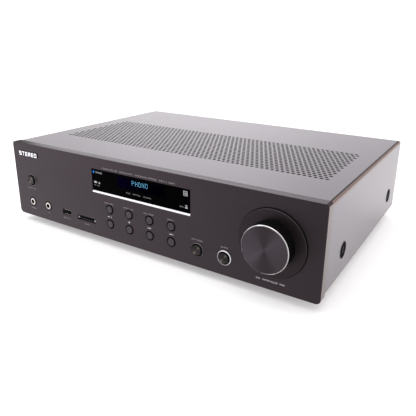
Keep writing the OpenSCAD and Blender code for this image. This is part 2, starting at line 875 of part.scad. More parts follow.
front_panel();
front_subframe();
badge();
display_window();
display_module();
trim_bar();
volume_disc();
volume_knob();
volume_knob_ring();
volume_knob_cap();
volume_shaft();
tone_knob();
source_knob();
source_knob_ring();
control_bezels();
rotary_controls();
standby_button();
upper_button_1();
upper_button_2();
upper_button_3();
upper_button_4();
lower_button_1();
lower_button_2();
lower_button_3();
lower_button_4();
jack_bushes();
jack_bodies();
usb_shell();
usb_tongue();
card_slot();
front_boards();
push_switches();
chassis_tray();
rear_panel();
top_cover();
side_screws();
case_screws();
feet();
transformer_core();
transformer_coils();
heatsink();
output_transistors();
amplifier_board();
filter_capacitors();
input_board();
tuner_can();
standoffs();
ribbon_cable();
phono_block();
phono_sleeves();
phono_inserts();
terminal_plate();
terminal_studs();
terminal_cap_1();
terminal_cap_2();
terminal_cap_3();
terminal_cap_4();
aerial_socket();
mains_inlet();
power_rocker();
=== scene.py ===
"""Looks for the stereo receiver: materials, lettering, display, studio and camera."""

import math
from collections import Counter

import bmesh
import bpy
from mathutils import Euler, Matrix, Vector
from mathutils.geometry import normal


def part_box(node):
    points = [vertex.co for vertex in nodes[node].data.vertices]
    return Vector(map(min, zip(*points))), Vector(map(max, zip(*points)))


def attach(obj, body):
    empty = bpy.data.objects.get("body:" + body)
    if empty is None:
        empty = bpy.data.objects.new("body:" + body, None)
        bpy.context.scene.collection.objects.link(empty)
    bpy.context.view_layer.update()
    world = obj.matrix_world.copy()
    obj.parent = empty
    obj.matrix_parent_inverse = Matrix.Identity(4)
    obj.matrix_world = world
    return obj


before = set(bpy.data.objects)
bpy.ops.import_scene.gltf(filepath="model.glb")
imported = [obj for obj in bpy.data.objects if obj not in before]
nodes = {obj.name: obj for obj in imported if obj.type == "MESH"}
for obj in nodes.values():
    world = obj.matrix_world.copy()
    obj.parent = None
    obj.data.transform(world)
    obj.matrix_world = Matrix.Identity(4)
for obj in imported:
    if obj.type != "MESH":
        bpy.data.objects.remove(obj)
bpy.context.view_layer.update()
scene = bpy.context.scene

MM = 0.001
PANEL_LOW, PANEL_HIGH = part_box("front_panel")
REAR_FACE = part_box("rear_panel")[1].y
COVER_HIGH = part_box("top_cover")[1]
BADGE_LOW, BADGE_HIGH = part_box("badge")
GLASS_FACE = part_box("display_window")[0].y
BUTTONS = [f"{row}_button_{i}" for row in ("upper", "lower") for i in (1, 2, 3, 4)]


def axis_of(node):
    """The x and z of the middle of a node, which is the axis of a round one."""
    low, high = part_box(node)
    return (low.x + high.x) / 2, (low.z + high.z) / 2


def radius_of(node):
    low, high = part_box(node)
    return (high.x - low.x) / 2


DISC_AXIS, DISC_R = axis_of("volume_disc"), radius_of("volume_disc")
KNOB_AXIS, RING_R = axis_of("volume_knob_cap"), radius_of("volume_knob_ring")

# Both headphone bushes are in one node: they stand as far as BUSH_GAP either side of its middle
BUSH_LOW, BUSH_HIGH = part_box("jack_bushes")
BUSH_MIDDLE = axis_of("jack_bushes")
BUSH_GAP = radius_of("jack_bushes") - (BUSH_HIGH.z - BUSH_LOW.z) / 2
BUSH_AXES = [(BUSH_MIDDLE[0] + way * BUSH_GAP, BUSH_MIDDLE[1]) for way in (-1, 1)]


# ---------------------------------------------------------------- materials


class Graph:
    """Short calls for the nodes of a shader tree; a value is a number or a socket."""

    def __init__(self, tree):
        self.tree = tree

    def node(self, kind, **values):
        made = self.tree.nodes.new(kind)
        for key, value in values.items():
            setattr(made, key, value)
        return made

    def link(self, source, target):
        self.tree.links.new(source, target)

    def maths(self, how, first, second=None):
        made = self.node("ShaderNodeMath", operation=how)
        for socket, value in zip(made.inputs, (first, second)):
            if value is None:
                continue
            if isinstance(value, (int, float)):
                socket.default_value = value
            else:
                self.link(value, socket)
        return made.outputs[0]

    def plus(self, first, second):
        return self.maths("ADD", first, second)

    def minus(self, first, second):
        return self.maths("SUBTRACT", first, second)

    def times(self, first, second):
        return self.maths("MULTIPLY", first, second)

    def over(self, first, second):
        return self.maths("DIVIDE", first, second)

    def under(self, value, limit):
        return self.maths("LESS_THAN", value, limit)

    def beyond(self, value, limit):
        return self.maths("GREATER_THAN", value, limit)

    def length(self, first, second):
        """The length of a line that goes first one way and second at right angles to it."""
        squares = [self.times(d, d) for d in (first, second)]
        return self.maths("SQRT", self.plus(*squares))

    def blend(self, factor, first, second):
        """A colour that goes from first to second; each is a tuple or a socket."""
        made = self.node("ShaderNodeMix", data_type="RGBA")
        self.link(factor, made.inputs["Factor"])
        for socket, value in ((made.inputs[6], first), (made.inputs[7], second)):
            if isinstance(value, tuple):
                socket.default_value = (*value, 1)
            else:
                self.link(value, socket)
        return made.outputs[2]


class Shader(Graph):
    """A Principled material, with short calls for what feeds it."""

    def __init__(self, name):
        self.mat = bpy.data.materials.new(name)
        self.mat.use_nodes = True
        super().__init__(self.mat.node_tree)
        self.bsdf = self.tree.nodes["Principled BSDF"]

    def set(self, **values):
        """Socket values by name, with _ for a space."""
        for key, value in values.items():
            self.bsdf.inputs[key.replace("_", " ")].default_value = value
        return self

    def feeding(self, socket):
        """What feeds a socket of the Principled shader."""
        return self.bsdf.inputs[socket].links[0].from_socket

    def place(self, scale=(1, 1, 1)):
        coords = self.node("ShaderNodeTexCoord")
        mapping = self.node("ShaderNodeMapping")
        mapping.inputs["Scale"].default_value = scale
        self.link(coords.outputs["Object"], mapping.inputs["Vector"])
        return mapping.outputs["Vector"]

    def noise(self, scale, stretch=(1, 1, 1), detail=3.0, rough=0.55):
        made = self.node("ShaderNodeTexNoise")
        made.inputs["Scale"].default_value = scale
        made.inputs["Detail"].default_value = detail
        made.inputs["Roughness"].default_value = rough
        self.link(self.place(stretch), made.inputs["Vector"])
        return made.outputs["Fac"]

    def spread(self, value, low, high, cut=(0.3, 0.7)):
        made = self.node("ShaderNodeMapRange")
        made.inputs["From Min"].default_value = cut[0]
        made.inputs["From Max"].default_value = cut[1]
        made.inputs["To Min"].default_value = low
        made.inputs["To Max"].default_value = high
        self.link(value, made.inputs["Value"])
        return made.outputs["Result"]

    def tint(self, value, dark, light, cut=(0.3, 0.7)):
        made = self.node("ShaderNodeMix", data_type="RGBA")
        self.link(self.spread(value, 0.0, 1.0, cut), made.inputs["Factor"])
        made.inputs[6].default_value = (*dark, 1)
        made.inputs[7].default_value = (*light, 1)
        return made.outputs[2]

    def split(self):
        """The x, y and z of a point in metres in the model's frame."""
        made = self.node("ShaderNodeSeparateXYZ")
        self.link(self.place(), made.inputs[0])
        return [made.outputs[i] for i in range(3)]

    def from_axis(self, at_x, at_z, folded=0.0):
        """Distance from an axis along Y, or from the nearer of two, each folded away from it."""
        x, _, z = self.split()
        across = self.minus(x, at_x)
        if folded:
            across = self.minus(self.maths("ABSOLUTE", across), folded)
        return self.length(across, self.minus(z, at_z))

    def painted_shade_black(self, mask):
        """Flat black wherever the mask is 1: painted shade."""
        metallic = self.bsdf.inputs["Metallic"]
        kept = self.minus(1.0, mask)
        self.link(self.times(kept, metallic.default_value), metallic)
        self.colour(self.blend(mask, self.feeding("Base Color"), (0.004, 0.004, 0.004)))
        self.rough(self.maths("MAXIMUM", self.feeding("Roughness"), self.times(mask, 0.9)))
        return self.set(Specular_IOR_Level=0.1)

    def colour(self, source):
        if isinstance(source, tuple):
            self.bsdf.inputs["Base Color"].default_value = (*source, 1)
        else:
            self.link(source, self.bsdf.inputs["Base Color"])
        return self

    def rough(self, source):
        if isinstance(source, (int, float)):
            self.bsdf.inputs["Roughness"].default_value = source
        else:
            self.link(source, self.bsdf.inputs["Roughness"])
        return self

    def bump(self, height, distance, strength=1.0):
        made = self.node("ShaderNodeBump")
        made.inputs["Strength"].default_value = strength
        made.inputs["Distance"].default_value = distance
        self.link(height, made.inputs["Height"])
        self.link(made.outputs["Normal"], self.bsdf.inputs["Normal"])
        return self


def scaled(colour, factor):
    return tuple(min(1.0, c * factor) for c in colour)


def plastic(name, colour, rough=0.45, grain=0.00002, size=1800, spread=0.12):
    """Moulded plastic: fine grain, and a little drift of colour and gloss across it."""
    s = Shader(name)
    drift = s.noise(45, detail=2)
    s.colour(s.tint(drift, scaled(colour, 1 - spread), scaled(colour, 1 + spread)))
    fine = s.noise(size, detail=2)
    s.rough(s.spread(fine, rough - 0.06, rough + 0.07))
    return s.bump(fine, grain)


def metal(name, colour, rough=0.3, stretch=(1, 1, 1), size=300, spread=0.08, lift=0.000006):
    """Bare or plated metal with a grain that runs along the axis with the smallest stretch."""
    s = Shader(name).set(Metallic=1.0)
    grain = s.noise(size, stretch, detail=4, rough=0.65)
    s.colour(s.tint(grain, scaled(colour, 1 - spread), scaled(colour, 1 + spread)))
    s.rough(s.spread(grain, rough - 0.05, rough + 0.08))
    return s.bump(grain, lift)


def brushed(name, colour):
    """Dark anodised aluminium, brushed in long straight lines along X."""
    s = Shader(name).set(Metallic=0.93, Anisotropic=0.5)
    lines = s.noise(1.0, (7, 40, 5200), detail=3, rough=0.7)
    soft = s.noise(9, (0.35, 1, 2.2), detail=3)
    both = s.plus(s.times(lines, 0.75), s.times(soft, 0.25))
    s.colour(s.tint(both, scaled(colour, 0.88), scaled(colour, 1.12), (0.35, 0.65)))
    s.rough(s.spread(lines, 0.34, 0.46, (0.3, 0.7)))
    return s.bump(lines, 0.000003, 0.5)


def spun(name, colour, axis_at, rough=0.3, anisotropic=0.75, rings=5200):
    """Turned face: fine rings about an axis that runs along Y through axis_at (x, z)."""
    s = Shader(name).set(Metallic=1.0, Anisotropic=anisotropic)
    tangent = s.node("ShaderNodeTangent", direction_type="RADIAL", axis="Y")
    s.link(tangent.outputs["Tangent"], s.bsdf.inputs["Tangent"])
    track = s.node("ShaderNodeCombineXYZ")
    s.link(s.from_axis(*axis_at), track.inputs[0])
    turned = s.node("ShaderNodeTexNoise")
    turned.inputs["Scale"].default_value = rings
    turned.inputs["Detail"].default_value = 2
    s.link(track.outputs[0], turned.inputs["Vector"])
    grain = turned.outputs["Fac"]
    s.colour(s.tint(grain, scaled(colour, 0.85), scaled(colour, 1.15)))
    s.rough(s.spread(grain, rough - 0.04, rough + 0.08))
    return s.bump(grain, 0.000004, 0.5)


def painted_sheen(s, axis_at, turn, dark_tone, highlight_tone, cut):
    """A painted highlight on both sides of the axis in the direction turn, in degrees up from +X.

    It paints how a lathe's rings shine, and keeps its place while the control is turned.
    """
    parts = s.node("ShaderNodeSeparateXYZ")
    s.link(s.node("ShaderNodeNewGeometry").outputs["Position"], parts.inputs[0])
    x, z = (s.minus(parts.outputs[i], at) for i, at in zip((0, 2), axis_at))
    cos, sin = math.cos(math.radians(turn)), math.sin(math.radians(turn))
    along = s.plus(s.times(x, cos), s.times(z, sin))
    aside = s.minus(s.times(z, cos), s.times(x, sin))
    along, aside = (s.times(d, d) for d in (along, aside))
    whole = s.plus(s.plus(along, aside), 1e-7)
    lobe = s.over(s.minus(along, aside), whole)
    s.colour(s.blend(s.spread(lobe, 0.0, 1.0, cut), dark_tone, highlight_tone))


def glow(name, colour, strength):
    """A lit mark on the display."""
    s = Shader(name).set(Roughness=0.5, Specular_IOR_Level=0.04)
    cells = s.noise(900, detail=1)
    s.colour(s.tint(cells, scaled(colour, 0.04), scaled(colour, 0.06)))
    s.link(s.tint(cells, scaled(colour, 0.9), colour), s.bsdf.inputs["Emission Color"])
    s.bsdf.inputs["Emission Strength"].default_value = strength
    return s


def circuit_board(name):
    """Green solder mask, lighter and raised where it runs over the tracks."""
    s = Shader(name).set(Coat_Weight=0.4)
    tracks = s.node("ShaderNodeTexVoronoi", feature="DISTANCE_TO_EDGE", distance="MANHATTAN")
    tracks.inputs["Scale"].default_value = 110
    s.link(s.place(), tracks.inputs["Vector"])
    gap, edge = tracks.outputs["Distance"], (0.03, 0.05)
    s.colour(s.tint(gap, (0.03, 0.16, 0.07), (0.01, 0.075, 0.035), edge))
    s.rough(s.spread(s.noise(300), 0.28, 0.42))
    return s.bump(s.spread(gap, 1, 0, edge), 0.00003)


ANODISED = (0.0605, 0.0485, 0.0545)
FOLD = 0.4 * MM  # within this of its outline the panel is a folded edge


def panel_aluminium():
    """The front panel: its folded edges are smoother than its brushed face, with painted light and
    shade on them.
    """
    s = brushed("panel_anodised", ANODISED)
    x, _, z = s.split()
    top_edge = s.beyond(z, PANEL_HIGH.z - FOLD)
    side_edge = s.beyond(s.maths("ABSOLUTE", x), PANEL_HIGH.x - FOLD)
    face, face_rough = s.feeding("Base Color"), s.feeding("Roughness")
    reach = (PANEL_LOW.x, PANEL_LOW.x + 75 * MM)
    # Painted shade on the top strip, darkest at its left end; the side edge gets a painted warm
    # highlight
    strip = s.tint(x, (0.045, 0.036, 0.04), (0.112, 0.095, 0.106), reach)
    s.colour(s.blend(side_edge, s.blend(top_edge, face, strip), (0.25, 0.21, 0.205)))
    folded = s.maths("MAXIMUM", top_edge, side_edge)
    s.rough(s.minus(face_rough, s.times(folded, 0.16)))
    # The top strip is painted black shade, strongest at its left end
    fade = s.spread(x, 0.7, 0.0, (PANEL_LOW.x, PANEL_LOW.x + 80 * MM))
    return s.painted_shade_black(s.times(top_edge, fade))


def disc_aluminium():
    """The raised disc behind the volume knob: painted shade from the knob darkens it, and its wall
    is painted black shade.
    """
    # Darker than the panel: painted shade from the knob
    s = brushed("disc_anodised", scaled(ANODISED, 0.8))
    return s.painted_shade_black(s.beyond(s.from_axis(*DISC_AXIS), DISC_R - 0.06 * MM))


# Vents: ten rows of 62 holes, and between them ten rows of 61, half a step along
VENT_STEP_X, VENT_STEP_Y, VENT_R = 6.12 * MM, 6.1 * MM, 1.9 * MM
VENT_MID_X, VENT_FIRST_Y = 1.26 * MM, -77.25 * MM
VENTS_IN_ROW, VENT_ROWS = 62, 10
VENT_RIM = 0.3 * MM
VENT_MARGIN = 2.5 * MM

# The cover's bends: a painted dark reflection where each begins, then a painted warm reflection
# band down to the side
BEND_R = 3.75 * MM
BEND_LINE = (-0.1 * MM, 1.2 * MM)
BAND_DROP = BEND_R + 0.9 * MM


def vent_rim_shade(s, x, y, odd):
    """1 on a ring of painted shade around each vent of every other row."""
    half_x = (VENTS_IN_ROW - 1 - odd) / 2 * VENT_STEP_X
    half_y = (VENT_ROWS - 1) * VENT_STEP_Y
    mid_y = VENT_FIRST_Y + (VENT_ROWS - 1 + odd) * VENT_STEP_Y
    across = s.minus(x, VENT_MID_X - half_x)
    along = s.minus(y, VENT_FIRST_Y + odd * VENT_STEP_Y)
    near_x = s.maths("PINGPONG", across, VENT_STEP_X / 2)
    near_y = s.maths("PINGPONG", along, VENT_STEP_Y)
    squares = [s.times(near, near) for near in (near_x, near_y)]
    rim = s.under(s.plus(*squares), (VENT_R + VENT_RIM) ** 2)
    for value, mid, half in ((x, VENT_MID_X, half_x), (y, mid_y, half_y)):
        off = s.maths("ABSOLUTE", s.minus(value, mid))
        rim = s.times(rim, s.under(off, half + VENT_MARGIN))
    return rim


def cover_paint():
    """Satin paint with fine metal flakes; painted black shade inside, painted shade around the
    vents, and painted reflections at the bends.
    """
    s = Shader("cover_satin_paint").set(Metallic=0.9)
    flakes = s.noise(1500, detail=2, rough=0.6)
    drift = s.noise(6, detail=2)
    mixed = s.plus(s.times(flakes, 0.5), s.times(drift, 0.5))
    s.colour(s.tint(mixed, (0.267, 0.245, 0.272), (0.283, 0.26, 0.288)))
    s.rough(s.spread(flakes, 0.23, 0.27))
    # The cut edges of the vents and the cover's inner face are painted flat black, as painted shade
    # inside the vents
    x, y, z = s.split()
    below = s.under(z, COVER_HIGH.z - 0.12 * MM)
    within = s.under(s.maths("ABSOLUTE", x), COVER_HIGH.x - 4 * MM)
    s.painted_shade_black(s.times(below, within))
    # Painted shade: a dark ring around each vent
    rim_shade = s.plus(*[vent_rim_shade(s, x, y, odd) for odd in (0, 1)])
    s.colour(s.blend(rim_shade, s.feeding("Base Color"), (0.05, 0.046, 0.05)))
    # Painted reflections on the bends: a dark line where each begins, then a warm band
    past_bend = s.minus(s.maths("ABSOLUTE", x), COVER_HIGH.x - BEND_R)
    under_top = s.minus(COVER_HIGH.z, z)
    start, end = BEND_LINE
    line = s.times(s.beyond(past_bend, start), s.under(past_bend, end))
    band = s.times(s.beyond(past_bend, end), s.under(under_top, BAND_DROP))
    banded = s.blend(band, s.feeding("Base Color"), (0.27, 0.222, 0.21))
    line = s.times(line, s.under(under_top, BEND_R))
    return s.colour(s.blend(line, banded, (0.05, 0.042, 0.044)))


def diamond_cut():
    """The knob ring's cut bevel shines; its inner part gets painted shade and its wall painted
    black shade.
    """
    s = metal("diamond_cut_ring", (0.66, 0.64, 0.64), 0.16, (1, 10, 1), 700, 0.04, 0.000002)
    s.set(Metallic=0.8)
    radius = s.from_axis(*DISC_AXIS)
    inner = s.under(radius, RING_R - 0.55 * MM)
    s.colour(s.blend(inner, s.feeding("Base Color"), (0.24, 0.225, 0.235)))
    return s.painted_shade_black(s.beyond(radius, RING_R - 0.05 * MM))


def bezel_metal():
    """Dark bezels: a painted highlight on their raised lips, and painted black shade in the cups
    inside them.
    """
    s = metal("bezel_anodised", (0.09, 0.075, 0.082), 0.28, (1, 8, 1), 700, 0.1, 0.000003)
    axes = [axis_of(control) for control in ("tone_knob", "standby_button")]
    radius = s.maths("MINIMUM", *[s.from_axis(*axis) for axis in axes])
    lip = s.beyond(radius, 7.3 * MM)
    s.colour(s.blend(lip, s.feeding("Base Color"), (0.17, 0.155, 0.16)))
    return s.painted_shade_black(s.under(radius, 7.1 * MM))


def bush_metal():
    """A bright plated socket face, with painted black shade in its bore and mouth."""
    s = metal("bush_nickel", (0.6, 0.575, 0.53), 0.16, (1, 8, 1), 500, 0.05, 0.000003)
    return s.painted_shade_black(s.under(s.from_axis(*BUSH_MIDDLE, BUSH_GAP), 2.9 * MM))


def usb_metal():
    """Steel, with painted black shade deep inside the mouth."""
    s = metal("usb_shell_steel", (0.62, 0.61, 0.6), 0.26, (1, 1, 14), 260)
    return s.painted_shade_black(s.beyond(s.split()[1], PANEL_LOW.y + 4.5 * MM))


def button_paint():
    """Dark paint with fine metal flakes."""
    s = Shader("button_metallic_paint").set(Metallic=0.75)
    fine = s.noise(2400, detail=2)
    s.colour(s.tint(fine, (0.052, 0.045, 0.05), (0.078, 0.068, 0.074)))
    s.rough(s.spread(fine, 0.34, 0.46))
    return s.bump(fine, 0.000006)


def window_acrylic():
    """Black acrylic, nearly without reflections."""
    s = Shader("window_black_acrylic").set(Specular_IOR_Level=0.007)
    haze = s.noise(130, detail=3)
    s.colour(s.tint(haze, (0.0003, 0.0003, 0.0005), (0.0007, 0.0007, 0.001)))
    s.rough(s.spread(haze, 0.05, 0.09))
    return s.bump(haze, 0.000002, 0.3)


def display_glow():
    """The empty part of the display, which glows less towards the right."""
    s = glow("display_blue_field", (0.0012, 0.0004, 0.0075), 1.0).set(Specular_IOR_Level=0.0)
    reach = (PANEL_LOW.x + 186 * MM, PANEL_LOW.x + 222 * MM)
    s.link(s.spread(s.split()[0], 1.0, 0.15, reach), s.bsdf.inputs["Emission Strength"])
    return s


def knob_face():
    """The volume knob's turned face, with a painted highlight to its left and right."""
    s = spun("knob_face_spun", (0.085, 0.074, 0.083), KNOB_AXIS, 0.3, 0.82)
    painted_sheen(s, KNOB_AXIS, 0, (0.063, 0.051, 0.058), (0.107, 0.091, 0.105), (-0.97, 0.0))
    return s


def small_face(node, face_r):
    """Turned face of a small control, with a painted highlight and a wall painted black as shade.
    """
    axis = axis_of(node)
    s = spun(node + "_turned", (0.05, 0.044, 0.048), axis, 0.22, 0.6)
    painted_sheen(s, axis, 52, (0.045, 0.038, 0.04), (0.15, 0.122, 0.1), (0.7, 1.0))
    return s.painted_shade_black(s.beyond(s.from_axis(*axis), face_r * MM))


mats = {
    "panel": panel_aluminium(),
    "disc": disc_aluminium(),
    "cover": cover_paint(),
    "diamond_cut": diamond_cut(),
    "bezel": bezel_metal(),
    "bush": bush_metal(),
    "usb_steel": usb_metal(),
    "button": button_paint(),
    "window": window_acrylic(),
    "unlit": display_glow(),
    "knob_face": knob_face(),
    "tone_knob": small_face("tone_knob", 5.6),
    "source_knob": small_face("source_knob", 5.6),
    "standby_button": small_face("standby_button", 5.4),
    "board": circuit_board("solder_mask"),
}
mats["rear"] = plastic("rear_powder_coat", (0.035, 0.035, 0.038), 0.5, 0.00005, 1400)
mats["zinc"] = metal("tray_zinc", (0.5, 0.51, 0.53), 0.34, (1, 1, 1), 60, 0.16)
mats["steel"] = metal("socket_steel", (0.62, 0.61, 0.6), 0.26, (1, 1, 14), 260)
mats["shaft"] = metal("shaft_steel", (0.55, 0.55, 0.56), 0.28, (1, 16, 1), 240)
mats["nickel"] = metal("socket_nickel", (0.82, 0.79, 0.74), 0.16, (1, 8, 1), 500, 0.05, 0.000003)
mats["chrome"] = metal("polished_chrome", (0.83, 0.83, 0.85), 0.09, (1, 6, 1), 420, 0.03, 0.000002)
mats["bar"] = metal("polished_bar", (0.93, 0.93, 0.94), 0.2, (0.1, 20, 20), 300, 0.03, 0.000002)
mats["gold"] = metal("stud_gold", (0.83, 0.62, 0.28), 0.2, (1, 10, 1), 400, 0.06)
mats["brass"] = metal("standoff_brass", (0.7, 0.55, 0.28), 0.3, (1, 1, 10), 300)
mats["tin"] = metal("tuner_tinplate", (0.66, 0.66, 0.65), 0.3, (1, 1, 1), 80, 0.1)
mats["laminations"] = metal(
    "core_laminations", (0.16, 0.16, 0.17), 0.42, (1, 60, 1), 20, 0.25, 0.00004
)
mats["heatsink"] = metal("heatsink_anodised", (0.045, 0.046, 0.05), 0.45, (12, 12, 1), 150, 0.12)
mats["screw"] = metal("screw_black_oxide", (0.06, 0.06, 0.065), 0.32, (1, 1, 1), 900, 0.25, 0.00001)
mats["black"] = plastic("black_moulding", (0.028, 0.027, 0.029), 0.42)
mats["slot_steel"] = metal("card_slot_steel", (0.3, 0.3, 0.3), 0.3, (1, 1, 14), 260)
mats["foot"] = plastic("foot_moulding", (0.03, 0.03, 0.031), 0.6, 0.00006, 900)
mats["inside_black"] = plastic("subframe_moulding", (0.012, 0.012, 0.013), 0.65)
mats["white"] = plastic("phono_insert_white", (0.7, 0.68, 0.64), 0.4, spread=0.04)
mats["grey"] = plastic("ribbon_grey", (0.42, 0.42, 0.41), 0.5, spread=0.05)
mats["tape"] = plastic("coil_tape", (0.62, 0.42, 0.06), 0.35, 0.00003, 500)
mats["sleeve"] = plastic("capacitor_sleeve", (0.02, 0.035, 0.11), 0.25, 0.00001, 700)
mats["print"] = plastic("print_grey", (0.29, 0.27, 0.29), 0.55, spread=0.05)
mats["print_white"] = plastic("print_white", (0.68, 0.66, 0.67), 0.5, spread=0.03)
mats["print_rear"] = plastic("print_rear_white", (0.62, 0.62, 0.62), 0.55, spread=0.05)
mats["print_window"] = glow("window_print_grey", (0.46, 0.46, 0.47), 0.6)
mats["print_window_white"] = glow("window_print_white", (0.8, 0.82, 0.84), 0.6)
mats["lit"] = glow("display_cyan", (0.2, 0.62, 0.95), 2.0)
mats["lamp"] = glow("window_lamp_blue", (0.03, 0.25, 0.9), 1.4)
mats["source_ring"] = metal(
    "source_ring_polished", (0.72, 0.72, 0.74), 0.3, (1, 6, 1), 420, 0.03, 0.000002
).set(Metallic=0.6)
mats["grip"] = plastic("knob_grip", (0.004, 0.0038, 0.004), 0.42, 0.00001, 2400)
mats["collar"] = plastic("socket_collar_black", (0.004, 0.004, 0.004), 0.6)
mats["side_screw"] = plastic("side_screw_black", (0.007, 0.006, 0.007), 0.4, 0.00001, 900)
mats["cap_black"] = plastic("terminal_black", (0.02, 0.02, 0.021), 0.25, 0.00001)
mats["cap_red"] = plastic("terminal_red", (0.42, 0.02, 0.015), 0.25, 0.00001)
for name, level in (("grip", 0.06), ("collar", 0.06), ("side_screw", 0.05)):
    mats[name].set(Specular_IOR_Level=level)
for name in ("cap_black", "cap_red"):
    mats[name].set(Coat_Weight=0.5)

FINISH = {
    "front_panel": "panel",
    "front_subframe": "inside_black",
    "badge": "chrome",
    "display_window": "window",
    "display_module": "inside_black",
    "trim_bar": "bar",
    "volume_disc": "disc",
    "volume_knob": "grip",
    "volume_knob_ring": "diamond_cut",
    "volume_knob_cap": "knob_face",
    "volume_shaft": "shaft",
    "tone_knob": "tone_knob",
    "source_knob": "source_knob",
    "source_knob_ring": "source_ring",
    "control_bezels": "bezel",
    "rotary_controls": "steel",
    "standby_button": "standby_button",
    "jack_bushes": "bush",
    "jack_bodies": "collar",
    "usb_shell": "usb_steel",
    "usb_tongue": "collar",
    "card_slot": "slot_steel",
    "front_boards": "board",
    "push_switches": "black",
    "chassis_tray": "zinc",
    "rear_panel": "rear",
    "top_cover": "cover",
    "side_screws": "side_screw",
    "case_screws": "screw",
    "feet": "foot",
    "transformer_core": "laminations",
    "transformer_coils": "tape",
    "heatsink": "heatsink",
    "output_transistors": "black",
    "amplifier_board": "board",
    "filter_capacitors": "sleeve",
    "input_board": "board",
    "tuner_can": "tin",
    "standoffs": "brass",
    "ribbon_cable": "grey",
    "phono_block": "black",
    "phono_sleeves": "nickel",
    "phono_inserts": "white",
    "terminal_plate": "black",
    "terminal_studs": "gold",
    "terminal_cap_1": "cap_black",
    "terminal_cap_2": "cap_red",
    "terminal_cap_3": "cap_black",
    "terminal_cap_4": "cap_red",
    "aerial_socket": "nickel",
    "mains_inlet": "black",
    "power_rocker": "cap_black",
}
FINISH.update(dict.fromkeys(BUTTONS, "button"))

for name, obj in nodes.items():
    obj.data.materials.clear()
    obj.data.materials.append(mats[FINISH[name]].mat)


# ------------------------------------------------------ flat marks on the panel


def on_panel(u, v, out=0.0):
    """A point in millimetres from the panel's lower left corner, out towards the viewer."""
    return Vector((PANEL_LOW.x + u * MM, PANEL_LOW.y - out * MM, PANEL_LOW.z + v * MM))


def panel_uv(x, z):
    """The panel's millimetres for a place in metres."""
    return (x - PANEL_LOW.x) / MM, (z - PANEL_LOW.z) / MM


def sides_of(face):
    """The pairs of corners that a face's sides join."""
    return zip(face, face[1:] + face[:1])


class Marks:
    """Flat shapes in one plane, gathered into one thin mesh."""

    def __init__(self, place):
        self.place = place
        self.points = []
        self.faces = []

    def add(self, corners, faces):
        first = len(self.points)
        self.points += [self.place(*corner) for corner in corners]
        self.faces += [tuple(first + i for i in face) for face in faces]

    def poly(self, corners):
        self.add(corners, [range(len(corners))])

    def rect(self, u, v, w, h):
        self.poly([(u, v), (u + w, v), (u + w, v + h), (u, v + h)])

    def centred(self, u, v, w, h):
        self.rect(u - w / 2, v - h / 2, w, h)

    def frame(self, u, v, w, h, line):
        self.rect(u, v, w, line)
        self.rect(u, v + h - line, w, line)
        self.rect(u, v + line, line, h - 2 * line)
        self.rect(u + w - line, v + line, line, h - 2 * line)

    def ring(self, u, v, r, line, start=0.0, end=360.0, steps=24):
        turns = [math.radians(start + (end - start) * i / steps) for i in range(steps + 1)]
        for a, b in zip(turns, turns[1:]):
            self.poly([
                (u + r * math.cos(a), v + r * math.sin(a)),
                (u + (r - line) * math.cos(a), v + (r - line) * math.sin(a)),
                (u + (r - line) * math.cos(b), v + (r - line) * math.sin(b)),
                (u + r * math.cos(b), v + r * math.sin(b)),
            ])

    def word(self, text, u, v, height, width=None, align="CENTER"):
        """Text whose capitals are height tall, centred on v; width squeezes it to fit."""
        curve = bpy.data.curves.new("word", "FONT")
        curve.body = text
        curve.align_x = align
        curve.size = 1.0
        holder = bpy.data.objects.new("word", curve)
        scene.collection.objects.link(holder)
        bpy.context.view_layer.update()
        graph = bpy.context.evaluated_depsgraph_get()
        mesh = bpy.data.meshes.new_from_object(holder.evaluated_get(graph))
        bpy.data.objects.remove(holder)
        bpy.data.curves.remove(curve)
        xs = [p.co.x for p in mesh.vertices]
        ys = [p.co.y for p in mesh.vertices]
        scale = height / (max(ys) - min(ys))
        across = scale if width is None else width / (max(xs) - min(xs))
        shift = {"CENTER": (max(xs) + min(xs)) / 2, "LEFT": min(xs)}[align]
        low = min(ys)
        corners = [
            (u + (x - shift) * across, v + (y - low) * scale - height / 2) for x, y in zip(xs, ys)
        ]
        self.add(corners, [tuple(face.vertices) for face in mesh.polygons])
        bpy.data.meshes.remove(mesh)

    def finish(self, name, material, towards, body="case", thick=0.03, slot=None):
        """Turns the shapes to face the viewer and gives the print its thin edge.

        The mesh is written out face by face, because an extrusion leaves them in no fixed order.
        """
        backs = []
        for face in self.faces:
            seen = normal(*[self.points[i] for i in face]).dot(towards) >= 0
            backs.append(face if seen else face[::-1])
        lift = len(self.points)
        uses = Counter(frozenset(side) for face in backs for side in sides_of(face))
        walls = [
            (a, b, b + lift, a + lift)
            for face in backs for a, b in sides_of(face) if uses[frozenset((a, b))] == 1
        ]
        fronts = [tuple(i + lift for i in face) for face in backs]
        raised = [point + towards * (thick * MM) for point in self.points]
        mesh = bpy.data.meshes.new(name)
        faces = [face[::-1] for face in backs] + fronts + walls
        mesh.from_pydata(self.points + raised, [], faces)
        mesh.materials.append(mats[material].mat)
        obj = bpy.data.objects.new(name, mesh)
        scene.collection.objects.link(obj)
        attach(obj, body)
        return obj


VIEWER = Vector((0, -1, 0))

# A black ring around the raised disc: painted shade at the disc's edge
edge_shade_ring = Marks(on_panel)
edge_shade_ring.ring(*panel_uv(*DISC_AXIS), DISC_R / MM + 0.75, 1.2, steps=96)
edge_shade_ring.finish("disc_edge_shade", "collar", VIEWER, thick=0.25, slot="jack_body")

# A thin black plate behind the badge, showing above it and at its right: a painted shadow of the
# badge
badge_shadow = Marks(on_panel)
shadow_u, shadow_v = panel_uv(BADGE_LOW.x, BADGE_LOW.z)
shadow_w, shadow_h = (BADGE_HIGH.x - BADGE_LOW.x) / MM, (BADGE_HIGH.z - BADGE_LOW.z) / MM
badge_shadow.rect(shadow_u + 0.4, shadow_v + 0.7, shadow_w + 1.5, shadow_h + 0.2)
badge_shadow.finish("badge_shadow_plate", "collar", VIEWER, thick=0.05, slot="jack_body")

